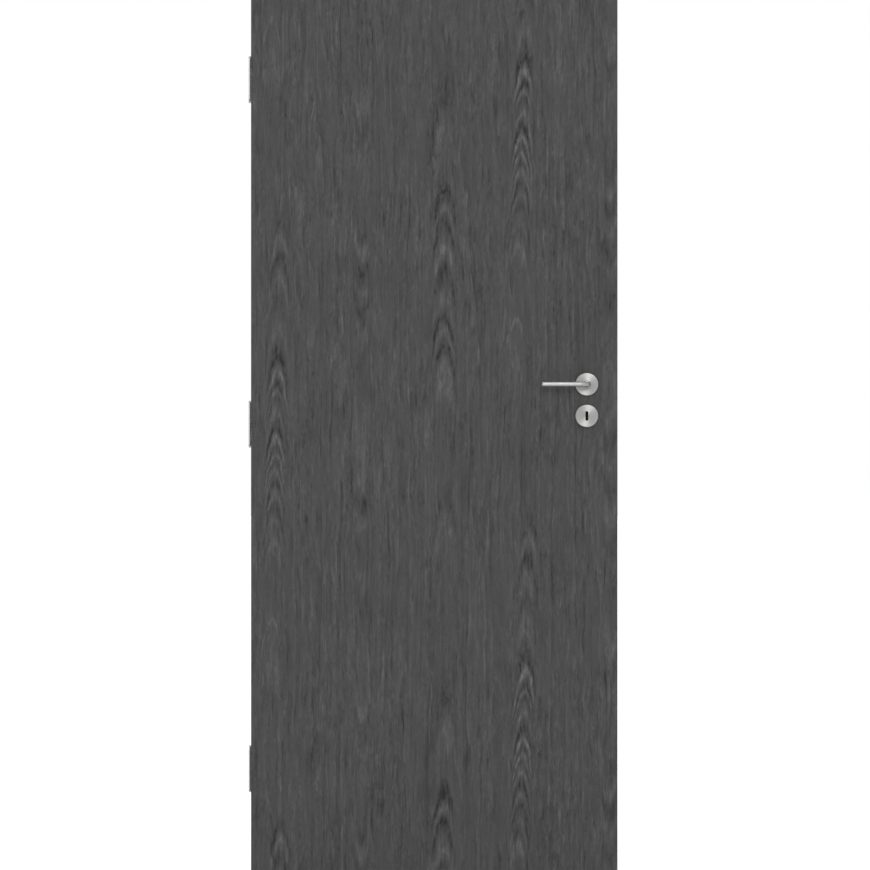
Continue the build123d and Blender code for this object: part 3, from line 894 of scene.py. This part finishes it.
def make_tumbler_tree():
    """Flat lever tumblers side by side, each a plate with a round pivot end, on every given point."""
    tree, given, out = new_group(
        "lock tumblers",
        [("Points", GEOMETRY, None), ("Plate Length", FLOAT, 0.02),
         ("Plate Height", FLOAT, 0.02), ("Pivot Radius", FLOAT, 0.004),
         ("Thickness", FLOAT, 0.0016), ("Finish", FINISH, None)],
        [("Tumblers", GEOMETRY)],
        "GeometryNodeTree",
    )
    plate = add_node(
        tree,
        "GeometryNodeMeshCube",
        {"Size": joined(tree, given["Plate Length"], given["Thickness"], given["Plate Height"])},
    )
    pivot = add_node(
        tree,
        "GeometryNodeMeshCylinder",
        {"Vertices": 32, "Radius": given["Pivot Radius"], "Depth": given["Thickness"]},
    )
    pivot_height = maths(tree, "MULTIPLY", given["Plate Height"], 0.5)
    moved = add_node(
        tree,
        "GeometryNodeTransform",
        {"Geometry": pivot.outputs["Mesh"], "Rotation": (math.pi / 2, 0.0, 0.0),
         "Translation": joined(tree, 0.0, 0.0, pivot_height)},
    )
    whole = add_node(tree, "GeometryNodeMeshBoolean", operation="UNION", solver="EXACT")
    tree.links.new(moved.outputs["Geometry"], whole.inputs["Mesh 2"])
    tree.links.new(plate.outputs["Mesh"], whole.inputs["Mesh 2"])
    placed = add_node(
        tree,
        "GeometryNodeInstanceOnPoints",
        {"Points": given["Points"], "Instance": whole.outputs["Mesh"]},
    )
    finish_instances(tree, placed.outputs["Instances"], given["Finish"], out["Tumblers"])
    return tree


# Screws: the hinge screws' two rows and their rise above and below a hinge's middle, and how far
# a head lies under the edge
hinge_screw_rows = (0.65 * MM, 13.65 * MM)
hinge_screw_rise = 36 * MM
screw_seat = 0.35 * MM
screw_finish = brushed_steel("screw_steel", level=0.42, roughness=0.36, wear=0.5, anisotropy=0.0)
cross_screws = make_screw_tree("cross-head screws", cross_recess)
socket_screws = make_screw_tree("socket screws", hex_recess)

hinge_points = [
    Vector((leaf_left_x + screw_seat, y,
            middle(f"door_hinge_leaf_{place}").z + side * hinge_screw_rise))
    for place in ("top", "middle", "bottom") for y in hinge_screw_rows for side in (-1, 1)
]
cross_sizes = {
    "Head Radius": 4.0 * MM, "Head Depth": 1.9 * MM, "Shank Radius": 2.1 * MM, "Length": 22 * MM,
    "Recess Width": 1.0 * MM, "Recess Depth": 1.5 * MM, "Finish": screw_finish,
}
make_repeats("hinge_screws", cross_screws, hinge_points, "door_leaf",
             {**cross_sizes, "Turn": (0.0, -quarter_turn, 0.0), "Seed": 7})

forend_screw_levels = (149.5 * MM, -59.5 * MM)
forend_points = [Vector((leaf_right_x - screw_seat, 0.0, z)) for z in forend_screw_levels]
make_repeats("forend_screws", cross_screws, forend_points, "door_leaf",
             {**cross_sizes, "Turn": (0.0, quarter_turn, 0.0), "Seed": 19})

spindle_place = middle("spindle")
grub_y = 42 * MM
grub_drop = 7 * MM
grub_z = spindle_place.z - grub_drop
grub_points = [Vector((spindle_place.x, side * grub_y, grub_z)) for side in (-1, 1)]
make_repeats("grub_screws", socket_screws, grub_points, "lever_set",
             {"Head Radius": 2.4 * MM, "Head Depth": 0.2 * MM, "Shank Radius": 2.2 * MM,
              "Length": 2.0 * MM, "Recess Width": 1.4 * MM, "Recess Depth": 1.6 * MM,
              "Turn": (math.pi, 0.0, 0.0), "Seed": 3, "Finish": screw_finish})

key_place = middle("front_key_rose")
tumbler_rows = (-4.7 * MM, -2.6 * MM, 2.6 * MM, 4.7 * MM)
tumbler_points = [Vector((key_place.x, y, key_place.z)) for y in tumbler_rows]
# The tumblers are coloured nearly black as painted shade inside the keyhole
make_repeats("lock_tumblers", make_tumbler_tree(), tumbler_points, "door_leaf",
             {"Plate Length": 26 * MM, "Plate Height": 27 * MM, "Pivot Radius": 7 * MM,
              "Thickness": 1.6 * MM, "Finish": keyhole_shade_steel("tumbler_painted_shade")})


# Floor, world, lamps and camera

def by_ray(tree, seen, lighting):
    """One strength for rays from the camera, a shiny surface or glass, and another for the rest."""
    rays = tree.nodes.new("ShaderNodeLightPath").outputs
    shows = total(tree, rays["Is Camera Ray"], rays["Is Glossy Ray"], rays["Is Transmission Ray"])
    return map_range(tree, shows, 0.0, 1.0, lighting, seen)


def make_world():
    """White where it is seen, and softer where it lights the leaf."""
    world = bpy.data.worlds.new("studio")
    world.use_nodes = True
    tree = world.node_tree
    backdrop = tree.nodes["Background"]
    backdrop.inputs["Color"].default_value = (1.0, 1.0, 1.0, 1.0)
    feed(tree, backdrop.inputs["Strength"], by_ray(tree, seen=1.0, lighting=0.60))
    bpy.context.scene.world = world


def make_floor():
    """A pale floor just under the leaf; it shows white and still takes the leaf's shadow."""
    level = leaf_bottom_z - floor_gap
    half = floor_half_size
    mesh = bpy.data.meshes.new("floor")
    corners = [(-half, -half), (half, -half), (half, half), (-half, half)]
    mesh.from_pydata([(x, y, level) for x, y in corners], [], [(0, 1, 2, 3)])
    floor = bpy.data.objects.new("floor", mesh)
    bpy.context.scene.collection.objects.link(floor)
    material, tree, shader = new_material("floor_white")
    shader.inputs["Base Color"].default_value = (0.90, 0.90, 0.90, 1.0)
    shader.inputs["Roughness"].default_value = 0.9
    shader.inputs["Specular IOR Level"].default_value = 0.1
    shader.inputs["Emission Color"].default_value = (1.0, 1.0, 1.0, 1.0)
    feed(tree, shader.inputs["Emission Strength"], by_ray(tree, seen=0.35, lighting=0.0))
    mesh.materials.append(material)


def make_lamp(name, strength, spread_degrees, source):
    """A soft far lamp that shines from one direction on the whole leaf alike."""
    lamp = bpy.data.lights.new(name, "SUN")
    lamp.energy = strength
    lamp.angle = math.radians(spread_degrees)
    placed = bpy.data.objects.new(name, lamp)
    placed.rotation_mode = "QUATERNION"
    placed.rotation_quaternion = Vector(source).to_track_quat("Z", "Y")
    bpy.context.scene.collection.objects.link(placed)


def make_camera():
    """Square on to the leaf, far enough away that the leaf's height fills the picture."""
    camera = bpy.data.cameras.new("camera")
    camera.lens = camera_lens
    camera.sensor_width = sensor_size
    placed = bpy.data.objects.new("camera", camera)
    distance = (leaf_top_z - leaf_bottom_z) * camera_lens / sensor_size * camera_fill
    placed.location = (camera_x, leaf_front_y - distance, (leaf_top_z + leaf_bottom_z) / 2)
    placed.rotation_euler = (quarter_turn, 0.0, 0.0)
    camera.clip_end = 200.0
    bpy.context.scene.collection.objects.link(placed)
    bpy.context.scene.camera = placed


make_world()
make_floor()
make_lamp("broad_lamp", strength=1.00, spread_degrees=100, source=(0.15, -1.0, 0.60))
make_lamp("upper_lamp", strength=0.48, spread_degrees=12, source=(0.09, -1.0, 0.27))
make_lamp("back_lamp", strength=1.40, spread_degrees=60, source=(-0.5, 1.0, 0.6))
make_camera()
bpy.context.scene.view_settings.view_transform = "Standard"
